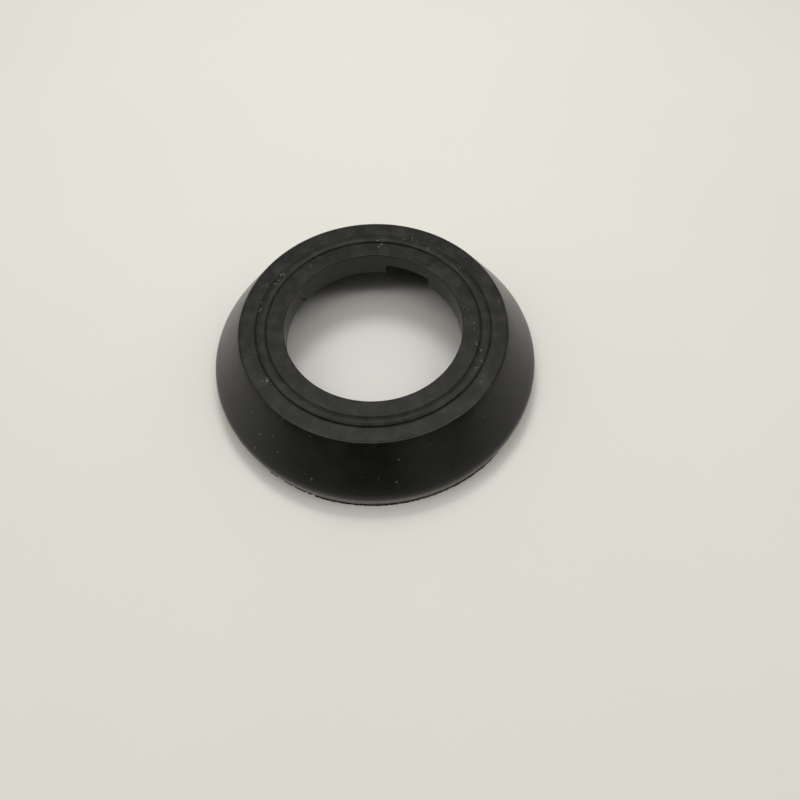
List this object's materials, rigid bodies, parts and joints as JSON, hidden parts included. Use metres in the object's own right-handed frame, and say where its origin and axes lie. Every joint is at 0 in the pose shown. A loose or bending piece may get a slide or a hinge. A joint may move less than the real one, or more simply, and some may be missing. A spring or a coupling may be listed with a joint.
{
  "type": "tapered rubber sealing ring",
  "caption": "Cone-shaped rubber sealing ring with a round bore, a low bead round its flat face, a hollow underside and a notched lip; it seals a waste or pipe joint.",
  "frame": {"origin": "on the bore's axis, in the plane of the foot", "axes": "+Z along the bore's axis from the foot to the flat face; the middle of the notch lies 62.7 degrees from +X towards +Y"},
  "size_m": [0.058, 0.058, 0.0127],
  "materials": {
    "rubber": "satin moulded black rubber"
  },
  "bodies": {
    "root": {"sealing_ring": "rubber"}
  },
  "joints": []
}
